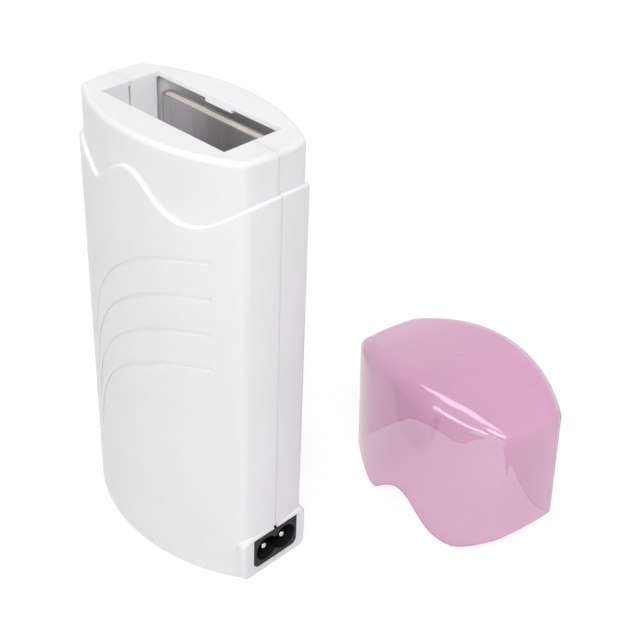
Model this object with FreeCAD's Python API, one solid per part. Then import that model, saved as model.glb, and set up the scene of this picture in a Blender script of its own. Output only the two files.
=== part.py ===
"""Hand-held heater for roll-on wax cartridges, with its see-through cap set down beside it.

Millimetres. The origin is the middle of the housing's base, +Z is up, the mains inlet is at the +X
end and the grooved front faces -Y. The housing parts at the plane Y = 0.
"""
import FreeCAD, Part
import math
import os

V = FreeCAD.Vector

# Housing outline: two bowed sides, two slightly bowed ends
body_length = 81.4
body_thickness = 50.6
body_height = 160.0
end_width = 26.8
end_bow = 1.5
corner_radius = 4.5
least_corner = 0.6
wall = 2.4
base_round = 1.0

# Collar that the cap slides over, and the rim at its top
cap_wall = 1.25
cap_clearance = 0.25
collar_wall = 2.2
collar_corner = 3.0
rim_thickness = 1.7
rim_round = 1.7
least_rim_flat = 0.4

# Wavy ledge at the collar's foot: turning points as drops below the rim, and the curve's handles
right_drop = 12.7
right_slope = 0.68
right_reach = 5.0
trough_x = 22.9
trough_drop = 23.0
trough_reach_right = 5.5
trough_reach_left = 13.0
hump_x = -1.0
hump_drop = 10.8
hump_reach_right = 9.1
hump_reach_left = 5.0
notch_x = -18.2
notch_drop = 22.1
notch_slope_right = 0.83
notch_slope_left = 0.26
notch_reach_right = 5.0
notch_reach_left = 6.0
notch_round = 1.0
left_drop = 16.4
left_reach = 7.7
ledge_round = 0.8
ledge_thickness = 3.0

# Bowed grip grooves, one above the other
groove_count = 4
groove_pitch = 13.0
groove_radius = 64.0
groove_centre_x = 34.5
groove_top_drop = 97.8
groove_start_angle = 94.7
groove_end_angle = 173.0
groove_width = 1.4
groove_depth = 0.3
groove_dot_radius = 0.9
groove_dot_depth = 0.45

# Parting line between the shells, and the lip that lines them up
seam_width = 0.16
seam_depth = 0.2
lip_height = 1.4
lip_thickness = 1.1
lip_clearance = 0.12

# Cartridge chamber, and the room left round it in the housing
end_room = 12.35
side_room = 13.65
chamber_floor = 55.0
chamber_wall = 1.6
chamber_slit = 0.9
rim_tab_length = 12.0
rim_tab_drop = 1.2
rim_tab_thickness = 1.6

# Screws that close the housing, and the posts they sit in
screw_radius = 1.45
screw_clearance = 0.25
pilot_clearance = 0.05
screw_length = 16.0
head_radius = 2.8
head_height = 2.0
head_chamfer = 0.7
well_clearance = 0.4
well_floor = 8.0
post_wall = 1.2
post_inset = 6.5
low_post_z = 32.0
post_drop = 12.0

# Mains inlet, set in a boss at the foot of the +X end
boss_width = 29.8
boss_height = 18.0
boss_reach = 0.2
boss_round = 1.5
boss_corner = 3.2
inlet_z = 10.0
inlet_width = 20.2
inlet_height = 12.6
inlet_corner = 2.6
inlet_proud = 0.1
inlet_gap = 0.1
flange_margin = 1.4
flange_thickness = 2.0
flange_setback = 7.0
inlet_depth = 19.0
inlet_back_wall = 3.0
pin_pitch = 8.6
pin_radius = 1.18
pin_setback = 1.2
pin_root = 1.0
lobe_radius = 4.8
waist_half_height = 2.9
waist_half_width = 0.5
block_margin = 1.8
mould_notch = 1.5

# Push-on terminals and the blades they go on
blade_width = 4.8
blade_thickness = 0.8
blade_length = 8.0
blade_fit = 0.05
terminal_length = 7.0
terminal_skin = 0.85
terminal_round = 0.6
barrel_length = 5.5
barrel_wall = 0.55
wire_radius = 1.0
wire_fit = 0.05
wire_insert = 4.5
wire_bend_share = 0.45
wire_wall_gap = 4.0
wire_rise = 6.0
link_tail = 7.0
neutral_aside = 10.3
neutral_rise = 12.0
neutral_tail = 12.0

# Heater: flattened sleeve, folded wrap, card and foil
sleeve_overhang = 0.85
sleeve_end_gap = 0.75
sleeve_thickness = 4.8
sleeve_skin = 0.8
sleeve_round = 2.2
sleeve_drop = 7.0
sleeve_above_floor = 2.0
sleeve_side_gap = 0.4
chamber_wall_gap = 0.3
tongue_inset = 3.6
tongue_margin = 1.3
wrap_fit = 0.05
wrap_drop = 0.5
wrap_fold = 6.0
card_thickness = 0.5
card_side_margin = 2.2
foil_thickness = 0.15
foil_run_pairs = 5
foil_width = 4.0
foil_gap = 4.6
foil_margin = 2.0
tab_thickness = 0.4
tab_width = 4.0
tab_tail_width = 1.4
tab_lap = 6.0
tab_drop = 7.0
tab_shoulder = 2.5
rib_thickness = 1.6
rib_x = 15.0
guide_reach = 3.0
guide_drop = 16.0

# What is fixed to the sleeve's tongue
tongue_screw_x = 0.0
tongue_screw_length = 7.0
tongue_screw_drop = 5.0
tongue_screw_pitch = 17.0
thermostat_x = -12.0
thermostat_gap = 1.3
cup_radius = 8.0
cup_height = 2.5
ear_pitch = 23.0
ear_radius = 3.2
ear_thickness = 0.8
switch_radius = 7.4
switch_height = 7.5
switch_chamfer = 0.8
blade_pitch = 8.0
blade_root = 1.0
rivet_radius = 1.2
rivet_fit = 0.05
rivet_head_radius = 2.1
rivet_head_height = 0.9
fuse_x = 12.0
fuse_radius = 2.0
fuse_length = 11.0
fuse_end_radius = 1.3
fuse_end_length = 1.5
fuse_lead_radius = 0.5
butt_gap = 0.2
clip_thickness = 0.5
clip_width = 5.0
clip_foot = 6.5
clip_fit = 0.05
crimp_length = 8.0
crimp_lap = 1.0

# Cap
cap_height = 61.0
crown_drop = 8.0
cap_round = 4.2
cap_inner_round = 2.9
cap_seat_gap = 0.3
cap_notch_round = 4.6
gate_radius = 1.3
gate_depth = 0.3
cap_place_x = 58.0
cap_place_y = 75.7
cap_turn = -8.5

# How far cutters overshoot, and how closely edges are looked for
margin = 10.0
edge_search = 0.01

# Worked out from the sizes above
half_length = body_length / 2
half_thickness = body_thickness / 2
half_end = end_width / 2
corner_x = half_length - end_bow
bow_rise = half_thickness - half_end
bow_radius = (corner_x ** 2 + bow_rise ** 2) / (2 * bow_rise)
bow_centre = half_thickness - bow_radius
end_radius = (half_end ** 2 + end_bow ** 2) / (2 * end_bow)
end_centre = half_length - end_radius
collar_inset = cap_wall + cap_clearance
collar_hollow = collar_inset + collar_wall
trough_z = body_height - trough_drop
shoulder_z = trough_z - ledge_thickness
chamber_end = half_length - end_room
chamber_side = half_thickness - side_room
post_x = half_length - post_inset
high_post_z = shoulder_z - post_drop
sleeve_front = chamber_side - sleeve_overhang
sleeve_back = sleeve_front + sleeve_thickness
sleeve_half = chamber_end - sleeve_end_gap
card_half = sleeve_half - sleeve_skin - card_side_margin
foil_half = card_half - foil_margin
return_tab_x = foil_half - tab_width / 2
sleeve_foot = chamber_floor + sleeve_above_floor
sleeve_top = body_height - sleeve_drop
tongue_front = sleeve_back - sleeve_skin
boss_face = half_length + boss_reach
inlet_face = boss_face + inlet_proud
inlet_back = inlet_face - inlet_depth
flange_front = boss_face - flange_setback
blade_end = inlet_back - blade_length
card_front = sleeve_front + (sleeve_thickness - card_thickness) / 2
foil_front = card_front - foil_thickness
tab_front = foil_front - tab_thickness
lead_y = tab_front + tab_thickness / 2
thermostat_half_span = ear_pitch / 2 + ear_radius
thermostat_z = sleeve_foot - thermostat_gap - thermostat_half_span
tongue_foot = thermostat_z - thermostat_half_span - tongue_margin
switch_front = tongue_front - cup_height - switch_height
crimp_radius = wire_radius + wire_fit
tab_foot = sleeve_foot - tab_drop
upper_crimp = tab_foot + crimp_lap - crimp_length
fuse_top = upper_crimp - crimp_lap
fuse_foot = fuse_top - fuse_length
lower_crimp = fuse_foot - crimp_lap - crimp_length
clip_z = (fuse_top + fuse_foot) / 2
clip_rivet_x = fuse_x - fuse_radius - clip_fit - clip_foot / 2


def box(x0, x1, y0, y1, z0, z1):
    """Block between two corners."""
    return Part.makeBox(x1 - x0, y1 - y0, z1 - z0, V(x0, y0, z0))


def rod(radius, start, end):
    """Round bar from one point to another."""
    run = V(*end) - V(*start)
    return Part.makeCylinder(radius, run.Length, V(*start), run)


def solid_of(shape):
    """The single solid of a shape, with its split faces joined."""
    joined = shape.removeSplitter()
    if len(joined.Solids) != 1:
        raise ValueError("expected one solid, found %d" % len(joined.Solids))
    return joined.Solids[0]


def corner_centre(bow, end, corner):
    """Centre of the corner arc that lies inside a side's arc and an end's arc and touches both."""
    to_bow = bow - corner
    to_end = end - corner
    gap = math.hypot(end_centre, bow_centre)
    ux = end_centre / gap
    uy = -bow_centre / gap
    run = (gap ** 2 + to_bow ** 2 - to_end ** 2) / (2 * gap)
    aside = math.sqrt(to_bow ** 2 - run ** 2)
    return run * ux + aside * uy, bow_centre + run * uy - aside * ux


def lens_prism(inset, low, high, corner=None):
    """The housing's plan, drawn in by inset, raised from low to high."""
    bow = bow_radius - inset
    end = end_radius - inset
    corner = corner or max(corner_radius - inset, least_corner)
    cx, cy = corner_centre(bow, end, corner)
    side_turn = math.atan2(cy - bow_centre, cx)
    end_turn = math.atan2(cy, cx - end_centre)
    middle = (side_turn + end_turn) / 2
    on_side = (bow * math.cos(side_turn), bow_centre + bow * math.sin(side_turn))
    on_corner = (cx + corner * math.cos(middle), cy + corner * math.sin(middle))
    on_end = (end_centre + end * math.cos(end_turn), end * math.sin(end_turn))
    top = (0, half_thickness - inset)
    tip = (half_length - inset, 0)

    def arc(points, x_sign, y_sign):
        return Part.Arc(*[V(x_sign * x, y_sign * y, low) for x, y in points]).toShape()

    def mirrored(point, x_sign, y_sign):
        return (x_sign * point[0], y_sign * point[1])

    edges = [
        arc([mirrored(on_end, 1, -1), tip, on_end], 1, 1),
        arc([on_end, on_corner, on_side], 1, 1),
        arc([on_side, top, mirrored(on_side, -1, 1)], 1, 1),
        arc([on_side, on_corner, on_end], -1, 1),
        arc([on_end, tip, mirrored(on_end, 1, -1)], -1, 1),
        arc([on_end, on_corner, on_side], -1, -1),
        arc([mirrored(on_side, -1, 1), top, on_side], 1, -1),
        arc([on_side, on_corner, on_end], 1, -1),
    ]
    return Part.Face(Part.Wire(edges)).extrude(V(0, 0, high - low))


def curve(poles):
    """One smooth edge in the XZ plane, from its first pole to its last."""
    bezier = Part.BezierCurve()
    bezier.setPoles([V(x, 0, z) for x, z in poles])
    return bezier.toShape()


def along(point, slope, sign, distance):
    """A point moved by distance up a slope that rises towards sign."""
    run = math.hypot(1.0, slope)
    return (point[0] + sign * distance / run, point[1] + distance * slope / run)


def ledge_edges(lift, rounding):
    """The wavy line of the ledge from left to right, raised by lift, with its notch rounded."""
    top = body_height + lift
    left = (-half_length, top - left_drop)
    notch = (notch_x, top - notch_drop)
    hump = (hump_x, top - hump_drop)
    trough = (trough_x, top - trough_drop)
    right = (half_length, top - right_drop)
    notch_left = along(notch, notch_slope_left, -1, rounding)
    notch_right = along(notch, notch_slope_right, 1, rounding)
    return [
        curve([(left[0] - margin, left[1]), left]),
        curve([left, (left[0] + left_reach, left[1]),
               along(notch, notch_slope_left, -1, notch_reach_left), notch_left]),
        curve([notch_left, notch, notch_right]),
        curve([notch_right, along(notch, notch_slope_right, 1, notch_reach_right),
               (hump[0] - hump_reach_left, hump[1]), hump]),
        curve([hump, (hump[0] + hump_reach_right, hump[1]),
               (trough[0] - trough_reach_left, trough[1]), trough]),
        curve([trough, (trough[0] + trough_reach_right, trough[1]),
               (right[0] - right_reach, right[1] - right_reach * right_slope), right]),
        curve([right, (right[0] + margin, right[1] + margin * right_slope)]),
    ]


def across(edges):
    """Slab of a closed XZ outline, right through the housing along Y."""
    depth = half_thickness + margin
    face = Part.Face(Part.Wire(edges))
    face.translate(V(0, -depth, 0))
    return face.extrude(V(0, 2 * depth, 0))


def closed_above(edges, high):
    """A left-to-right line closed by straight sides and a flat top."""
    start = edges[0].firstVertex().Point
    end = edges[-1].lastVertex().Point
    corners = [end, V(end.x, 0, high), V(start.x, 0, high), start]
    sides = [Part.LineSegment(a, b).toShape() for a, b in zip(corners, corners[1:])]
    return edges + sides


def edges_between(shape, low, high):
    """Edges whose ends and middle all lie between two heights."""
    found = []
    for edge in shape.Edges:
        heights = [v.Point.z for v in edge.Vertexes]
        heights.append(edge.CenterOfMass.z)
        if low <= min(heights) and max(heights) <= high:
            found.append(edge)
    return found


def runs_across(edge):
    """Whether an edge is a crease from front to back rather than part of the rim line."""
    box_of = edge.BoundBox
    inside = max(abs(box_of.XMin), abs(box_of.XMax)) < half_length - base_round
    return inside and box_of.XLength < least_corner and box_of.YLength > base_round


def outer_block():
    """The housing's outside: lower body with its rounded ledge, collar with its rounded rim."""
    body = lens_prism(0, 0, body_height + margin)
    body = body.cut(across(closed_above(ledge_edges(0, notch_round), body_height + 2 * margin)))
    line = edges_between(body, trough_z - edge_search, body_height)
    body = body.makeFillet(ledge_round, [e for e in line if not runs_across(e)])
    body = body.makeFillet(base_round, edges_between(body, -edge_search, edge_search))
    collar = lens_prism(collar_inset, wall, body_height, collar_corner)
    rounding = min(rim_round, collar_corner - least_rim_flat)
    rim = edges_between(collar, body_height - edge_search, body_height + edge_search)
    collar = collar.makeFillet(rounding, rim)
    return body.fuse(collar).fuse(inlet_boss())


def inlet_boss():
    """Rounded block round the inlet, standing out of the end of the housing."""
    half = boss_width / 2
    block = box(half_length - flange_setback, boss_face, -half, half, 0, boss_height)
    block = block.makeFillet(boss_corner, [e for e in block.Edges if e.BoundBox.XLength > boss_round])
    faces = [e for e in block.Edges if e.BoundBox.XMin > boss_face - boss_round]
    return block.makeFillet(boss_round, faces)


def grip_grooves():
    """Cutters for the bowed grooves on both broad sides, each with a round dot at its start."""
    reach = half_thickness + margin
    low = body_height - groove_top_drop - groove_count * groove_pitch
    skin = lens_prism(-groove_depth, low, body_height).cut(lens_prism(groove_depth, low, body_height))
    dots = lens_prism(-groove_depth, low, body_height)
    dots = dots.cut(lens_prism(groove_dot_depth, low, body_height))
    cutters = []
    for row in range(groove_count):
        centre_z = body_height - groove_top_drop - row * groove_pitch
        sweep = groove_end_angle - groove_start_angle
        outer = Part.makeCylinder(groove_radius + groove_width / 2, 2 * reach, V(), V(0, 0, 1), sweep)
        inner = Part.makeCylinder(groove_radius - groove_width / 2, 2 * reach)
        band = outer.cut(inner)
        band.rotate(V(), V(0, 0, 1), groove_start_angle)
        band.rotate(V(), V(1, 0, 0), 90)
        band.translate(V(groove_centre_x, reach, centre_z))
        angle = math.radians(groove_start_angle)
        start_x = groove_centre_x + groove_radius * math.cos(angle)
        start_z = centre_z + groove_radius * math.sin(angle)
        dot = rod(groove_dot_radius, (start_x, -reach, start_z), (start_x, reach, start_z))
        cutters.append(band.common(skin))
        cutters.append(dot.common(dots))
    return Part.makeCompound(cutters)


def chamber_walls():
    """Floor, front wall and slit end walls of the cartridge chamber."""
    end = chamber_end + chamber_wall
    back = sleeve_front - chamber_wall_gap
    top = body_height - rim_thickness
    walls = box(-end, end, -chamber_side - chamber_wall, back, chamber_floor - chamber_wall, top)
    walls = walls.cut(box(-chamber_end, chamber_end, -chamber_side, back, chamber_floor, top))
    return walls.cut(box(-end, end, -chamber_slit, 0, chamber_floor, top))


def post_places():
    """Where the screws that close the housing stand."""
    return [(x, z) for x in (-post_x, post_x) for z in (low_post_z, high_post_z)]


def screw_posts():
    """Posts in both shells, down to the parting plane."""
    radius = head_radius + well_clearance + post_wall
    return [rod(radius, (x, -half_thickness, z), (x, half_thickness, z)) for x, z in post_places()]


def tongue_screw_places():
    """Where the sleeve's tongue is screwed down."""
    first = sleeve_foot - tongue_screw_drop
    return [(tongue_screw_x, first), (tongue_screw_x, first - tongue_screw_pitch)]


def heater_supports():
    """Ribs behind the sleeve, guides at its sides and posts behind its tongue."""
    low = sleeve_foot
    high = sleeve_top - guide_drop
    pieces = [box(x - rib_thickness / 2, x + rib_thickness / 2, sleeve_back, half_thickness, low, high)
              for x in (-rib_x, rib_x)]
    inner = sleeve_half + sleeve_side_gap
    outer = inner + rib_thickness
    front = sleeve_back - guide_reach
    pieces.append(box(-outer, -inner, front, half_thickness, low, high))
    pieces.append(box(inner, outer, front, half_thickness, low, high))
    radius = screw_radius + pilot_clearance + post_wall
    for x, z in tongue_screw_places():
        pieces.append(rod(radius, (x, sleeve_back, z), (x, half_thickness, z)))
    return pieces


def sleeve_room():
    """Room for the sleeve, cut out of the collar where its corners come close."""
    end = sleeve_half + sleeve_side_gap
    return box(-end, end, sleeve_front - chamber_wall_gap, sleeve_back, sleeve_foot, sleeve_top)


def inlet_block():
    """Solid corner behind the boss, which the inlet's groove is cut in."""
    half = inlet_width / 2 + flange_margin + block_margin
    back = flange_front - flange_thickness - block_margin
    return box(back, half_length, -half, half, 0, boss_height)


def rim_tab():
    """Short tab under the rim's back edge, in the middle."""
    top = body_height - rim_thickness
    half = rim_tab_length / 2
    return box(-half, half, chamber_side, chamber_side + rim_tab_thickness, top - rim_tab_drop, top)


def inlet_profile(gap, x0, x1, grow):
    """The inlet's upright outline between two places along X, with its lower corners rounded."""
    half = inlet_width / 2 + grow + gap
    tall = inlet_height / 2 + grow + gap
    block = box(x0, x1, -half, half, inlet_z - tall, inlet_z + tall)
    lower = [e for e in block.Edges if e.BoundBox.XLength > e.BoundBox.YLength
             and e.BoundBox.XLength > e.BoundBox.ZLength and e.BoundBox.ZMax < inlet_z]
    return block.makeFillet(inlet_corner, lower)


def inlet_pocket():
    """Room for the inlet in the housing: mouth, flange groove, way in and a notch at the seam."""
    flange_back = flange_front - flange_thickness
    mouth = inlet_profile(inlet_gap, flange_front - inlet_gap, boss_face + margin, 0)
    groove = inlet_profile(inlet_gap, flange_back - inlet_gap, flange_front, flange_margin)
    way = inlet_profile(inlet_gap, inlet_back - margin, flange_back, 0)
    half = mould_notch / 2
    top = inlet_z + inlet_height / 2
    notch = box(boss_face - mould_notch, boss_face + margin, -half, half, top, top + mould_notch)
    return mouth.fuse(groove).fuse(way).fuse(notch)


def screw_holes():
    """Wells and clearance holes from the back, and pilot holes in the front posts."""
    cutters = []
    tip = well_floor - screw_length - pilot_clearance
    for x, z in post_places():
        well = head_radius + well_clearance
        cutters.append(rod(well, (x, well_floor, z), (x, half_thickness + margin, z)))
        cutters.append(rod(screw_radius + screw_clearance, (x, 0, z), (x, well_floor, z)))
        cutters.append(rod(screw_radius + pilot_clearance, (x, tip, z), (x, 0, z)))
    depth = sleeve_back + tongue_screw_length
    for x, z in tongue_screw_places():
        cutters.append(rod(screw_radius + pilot_clearance, (x, sleeve_back, z), (x, depth, z)))
    return cutters


def seam_line():
    """Shallow parting line down both ends, on the body, the collar and the boss."""
    half = seam_width / 2
    tall = body_height - rim_round
    slab = box(-half_length - margin, half_length + margin, -half, half, 0, tall)
    lower = lens_prism(-seam_depth, 0, tall).cut(lens_prism(seam_depth, 0, tall))
    upper = lens_prism(-seam_depth, trough_z, tall)
    upper = upper.cut(lens_prism(collar_inset + seam_depth, trough_z, tall))
    on_boss = box(boss_face - seam_depth, boss_face + seam_depth, -half, half, inlet_z, boss_height)
    return [lower.common(slab), upper.common(slab), on_boss]


def lip(gap):
    """Lining-up lip along the parting plane, grown by gap for the groove that takes it."""
    inset = wall - lip_thickness - gap
    ring = lens_prism(inset, inset, shoulder_z).cut(lens_prism(wall + gap, wall + gap, shoulder_z))
    slab = box(-half_length, half_length, -gap, lip_height + gap, 0, shoulder_z)
    return ring.common(slab).cut(inlet_pocket())


def housing():
    """The two shells of the housing."""
    hollow = lens_prism(wall, wall, shoulder_z)
    hollow = hollow.fuse(lens_prism(collar_hollow, shoulder_z, body_height - rim_thickness))
    kept = [chamber_walls(), inlet_block(), rim_tab()] + screw_posts() + heater_supports()
    hollow = hollow.cut(kept)
    body = outer_block().cut([hollow, sleeve_room()])
    mouth = box(-chamber_end, chamber_end, -chamber_side, chamber_side,
                body_height - rim_thickness, body_height + margin)
    body = body.cut([mouth, inlet_pocket(), grip_grooves()] + screw_holes() + seam_line())
    reach = half_length + margin
    deep = half_thickness + margin
    front = body.common(box(-reach, reach, -deep, 0, -margin, body_height + margin))
    back = body.common(box(-reach, reach, 0, deep, -margin, body_height + margin))
    return solid_of(front.fuse(lip(0))), solid_of(back.cut(lip(lip_clearance)))


def inlet_housing():
    """Inlet body with its flange, its figure-8 socket and two pin holes."""
    flange_back = flange_front - flange_thickness
    body = inlet_profile(0, inlet_back, inlet_face, 0)
    body = body.fuse(inlet_profile(0, flange_back, flange_front, flange_margin))
    floor = inlet_back + inlet_back_wall
    half = pin_pitch / 2
    body = body.cut(box(floor, inlet_face + margin, -waist_half_width, waist_half_width,
                        inlet_z - waist_half_height, inlet_z + waist_half_height))
    for y in (-half, half):
        lobe = rod(lobe_radius, (floor, y, inlet_z), (inlet_face + margin, y, inlet_z))
        hole = rod(pin_radius + blade_fit, (inlet_back - pin_root, y, inlet_z), (floor, y, inlet_z))
        body = body.cut(lobe.fuse(hole))
    return solid_of(body)


def inlet_pins():
    """Two round pins with rounded tips, each flattened to a blade behind the inlet."""
    tip = inlet_face - pin_setback
    pins = []
    for y in (-pin_pitch / 2, pin_pitch / 2):
        pin = rod(pin_radius, (inlet_back - pin_root, y, inlet_z), (tip, y, inlet_z))
        ends = [e for e in pin.Edges if e.BoundBox.XMin > tip - edge_search]
        pin = pin.makeFillet(pin_radius / 2, ends)
        half = blade_width / 2
        thin = blade_thickness / 2
        blade = box(blade_end, inlet_back, y - thin, y + thin, inlet_z - half, inlet_z + half)
        pins.append(solid_of(pin.fuse(blade)))
    return Part.makeCompound(pins)


def spade_terminal():
    """Push-on terminal along +X: a folded box with a slot for the blade, and a crimp barrel."""
    half = blade_width / 2 + terminal_skin
    thick = blade_thickness / 2 + terminal_skin
    body = box(0, terminal_length, -thick, thick, -half, half)
    sides = [e for e in body.Edges if e.BoundBox.XLength > terminal_length / 2]
    body = body.makeFillet(terminal_round, sides)
    body = body.fuse(rod(crimp_radius + barrel_wall, (-barrel_length, 0, 0), (terminal_skin, 0, 0)))
    slot_half = blade_width / 2 + blade_fit
    slot_thick = blade_thickness / 2 + blade_fit
    body = body.cut(box(0, terminal_length, -slot_thick, slot_thick, -slot_half, slot_half))
    return solid_of(body.cut(rod(crimp_radius, (-barrel_length, 0, 0), (0, 0, 0))))


def blade_places():
    """The thermostat blades' places across the switch body."""
    return [thermostat_x - blade_pitch / 2, thermostat_x + blade_pitch / 2]


def spade_terminals():
    """One terminal on each blade of the inlet and of the thermostat."""
    placed = []
    for y in (-pin_pitch / 2, pin_pitch / 2):
        terminal = spade_terminal()
        terminal.translate(V(blade_end, y, inlet_z))
        placed.append(terminal)
    for x in blade_places():
        terminal = spade_terminal()
        terminal.rotate(V(), V(0, 0, 1), 90)
        terminal.translate(V(x, switch_front - blade_length, thermostat_z))
        placed.append(terminal)
    return Part.makeCompound(placed)


def flat_tube(inset, low, high):
    """The sleeve's rounded section, drawn in by inset."""
    half = sleeve_half - inset
    block = box(-half, half, sleeve_front + inset, sleeve_back - inset, low, high)
    upright = [e for e in block.Edges if e.BoundBox.ZLength > sleeve_thickness]
    return block.makeFillet(max(sleeve_round - inset, least_corner), upright)


def heater_sleeve():
    """Flattened tube whose back runs on below as a fixing tongue."""
    tube = flat_tube(0, sleeve_foot, sleeve_top)
    tube = tube.cut(flat_tube(sleeve_skin, sleeve_foot, sleeve_top))
    half = sleeve_half - tongue_inset
    tongue = box(-half, half, tongue_front, sleeve_back, tongue_foot, sleeve_foot + sleeve_skin)
    tube = tube.fuse(tongue)
    for x, z in tongue_screw_places():
        tube = tube.cut(rod(screw_radius + screw_clearance, (x, tongue_front, z), (x, sleeve_back, z)))
    for x, z, _ in rivet_places():
        tube = tube.cut(rod(rivet_radius + rivet_fit, (x, tongue_front, z), (x, sleeve_back, z)))
    return solid_of(tube)


def card_top():
    """The card's upper edge, below the wrap's fold."""
    return sleeve_top - wrap_drop - wrap_fold


def insulation_wrap():
    """Fibre paper folded over the card, with a pocket open at the bottom."""
    skin = sleeve_skin + wrap_fit
    block = flat_tube(skin, sleeve_foot, sleeve_top - wrap_drop)
    half = card_half + wrap_fit
    pocket = box(-half, half, tab_front - wrap_fit, card_front + card_thickness + wrap_fit,
                 sleeve_foot, card_top() + wrap_fit)
    return solid_of(block.cut(pocket))


def element_card():
    """Stiff card that carries the foil."""
    return box(-card_half, card_half, card_front, card_front + card_thickness, sleeve_foot, card_top())


def tab_places():
    """The two tabs: the fed one above the fuse and the return one."""
    return [fuse_x, return_tab_x]


def element_foil():
    """One serpentine strip on the card's front, with a return strip at its left, from tab to tab."""
    half = foil_half
    low = sleeve_foot + tab_lap + foil_gap
    last = 2 * foil_run_pairs - 1
    pitch = (card_top() - foil_margin - foil_width - low) / last
    inner = foil_width + foil_gap - half

    def strip(x0, x1, z0, z1):
        return box(x0, x1, foil_front, card_front, z0, z1)

    pieces = [strip(-half, fuse_x + tab_width / 2, low, low + foil_width)]
    pieces.append(strip(return_tab_x - tab_width / 2, half, low, low + foil_width))
    pieces.append(strip(-half, foil_width - half, low, low + last * pitch))
    for run in range(1, last + 1):
        z = low + run * pitch
        pieces.append(strip(inner if run < last else -half, half, z, z + foil_width))
        x = half - foil_width if run % 2 else inner
        pieces.append(strip(x, x + foil_width, z - pitch, z))
    for x in tab_places():
        pieces.append(strip(x - tab_width / 2, x + tab_width / 2, sleeve_foot, low))
    return solid_of(pieces[0].fuse(pieces[1:]))


def element_tabs():
    """Flat tabs on the foil's ends, each narrowing to a tail below the sleeve."""
    tabs = []
    for x in tab_places():
        wide = tab_width / 2
        thin = tab_tail_width / 2
        shoulder = tab_foot + tab_shoulder
        tail_end = upper_crimp + (crimp_length + butt_gap) / 2
        tab = box(x - wide, x + wide, tab_front, foil_front, shoulder, sleeve_foot + tab_lap)
        tail = box(x - thin, x + thin, tab_front, foil_front, tail_end, shoulder)
        tabs.append(solid_of(tab.fuse(tail)))
    return Part.makeCompound(tabs)


def pan_screw(length):
    """Pan-head screw along +Y, from under its head at the origin."""
    head = rod(head_radius, (0, -head_height, 0), (0, 0, 0))
    rim = [e for e in head.Edges if e.BoundBox.YMax < -head_height / 2]
    head = head.makeChamfer(head_chamfer, rim)
    return solid_of(head.fuse(rod(screw_radius, (0, 0, 0), (0, length, 0))))


def shell_screws():
    """Four screws from the back, their heads at the bottom of the wells."""
    placed = []
    for x, z in post_places():
        screw = pan_screw(screw_length)
        screw.rotate(V(), V(0, 0, 1), 180)
        screw.translate(V(x, well_floor, z))
        placed.append(screw)
    return Part.makeCompound(placed)


def sleeve_screws():
    """Two screws through the tongue into the posts behind it."""
    placed = []
    for x, z in tongue_screw_places():
        screw = pan_screw(sleeve_skin + tongue_screw_length - pilot_clearance)
        screw.translate(V(x, tongue_front, z))
        placed.append(screw)
    return Part.makeCompound(placed)


def ear_places():
    """The heights of the thermostat's two ears."""
    return [thermostat_z - ear_pitch / 2, thermostat_z + ear_pitch / 2]


def rivet_places():
    """Each rivet's place on the tongue, and how far in front of it the face under its head is."""
    ears = [(thermostat_x, z, ear_thickness) for z in ear_places()]
    return ears + [(clip_rivet_x, clip_z, clip_thickness)]


def rivets():
    """Rivets with a head on the fixed piece and a set tail behind the tongue."""
    placed = []
    end = sleeve_back + rivet_head_height
    for x, z, thickness in rivet_places():
        seat = tongue_front - thickness
        rivet = rod(rivet_radius, (x, seat, z), (x, sleeve_back, z))
        rivet = rivet.fuse(rod(rivet_head_radius, (x, seat - rivet_head_height, z), (x, seat, z)))
        rivet = rivet.fuse(rod(rivet_head_radius, (x, sleeve_back, z), (x, end, z)))
        placed.append(solid_of(rivet))
    return Part.makeCompound(placed)


def thermostat_cup():
    """Round cup with two ears, flat on the tongue."""
    x = thermostat_x
    cup = rod(cup_radius, (x, tongue_front - cup_height, thermostat_z), (x, tongue_front, thermostat_z))
    low, high = ear_places()
    back = tongue_front - ear_thickness
    cup = cup.fuse(box(x - ear_radius, x + ear_radius, back, tongue_front, low, high))
    for z in (low, high):
        cup = cup.fuse(rod(ear_radius, (x, back, z), (x, tongue_front, z)))
    for z in (low, high):
        cup = cup.cut(rod(rivet_radius + rivet_fit, (x, back, z), (x, tongue_front, z)))
    return solid_of(cup)


def thermostat_body():
    """Moulded switch body on the cup, slotted for its blades."""
    x = thermostat_x
    back = tongue_front - cup_height
    body = rod(switch_radius, (x, switch_front, thermostat_z), (x, back, thermostat_z))
    rim = [e for e in body.Edges if e.BoundBox.YMax < switch_front + switch_chamfer]
    body = body.makeChamfer(switch_chamfer, rim)
    half = blade_width / 2 + blade_fit
    thin = blade_thickness / 2 + blade_fit
    for place in blade_places():
        body = body.cut(box(place - thin, place + thin, switch_front, switch_front + blade_root,
                            thermostat_z - half, thermostat_z + half))
    return solid_of(body)


def thermostat_blades():
    """Two flat blades standing out of the switch body."""
    half = blade_width / 2
    thin = blade_thickness / 2
    blades = []
    for x in blade_places():
        blades.append(box(x - thin, x + thin, switch_front - blade_length, switch_front + blade_root,
                          thermostat_z - half, thermostat_z + half))
    return Part.makeCompound(blades)


def thermal_fuse():
    """Upright cut-off can with stepped ends and a lead at each end."""
    def bar(radius, low, high):
        return rod(radius, (fuse_x, lead_y, low), (fuse_x, lead_y, high))

    can = bar(fuse_radius, fuse_foot + fuse_end_length, fuse_top - fuse_end_length)
    can = can.fuse(bar(fuse_end_radius, fuse_foot, fuse_top))
    low = lower_crimp + (crimp_length + butt_gap) / 2
    high = upper_crimp + (crimp_length - butt_gap) / 2
    return solid_of(can.fuse(bar(fuse_lead_radius, low, high)))


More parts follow.
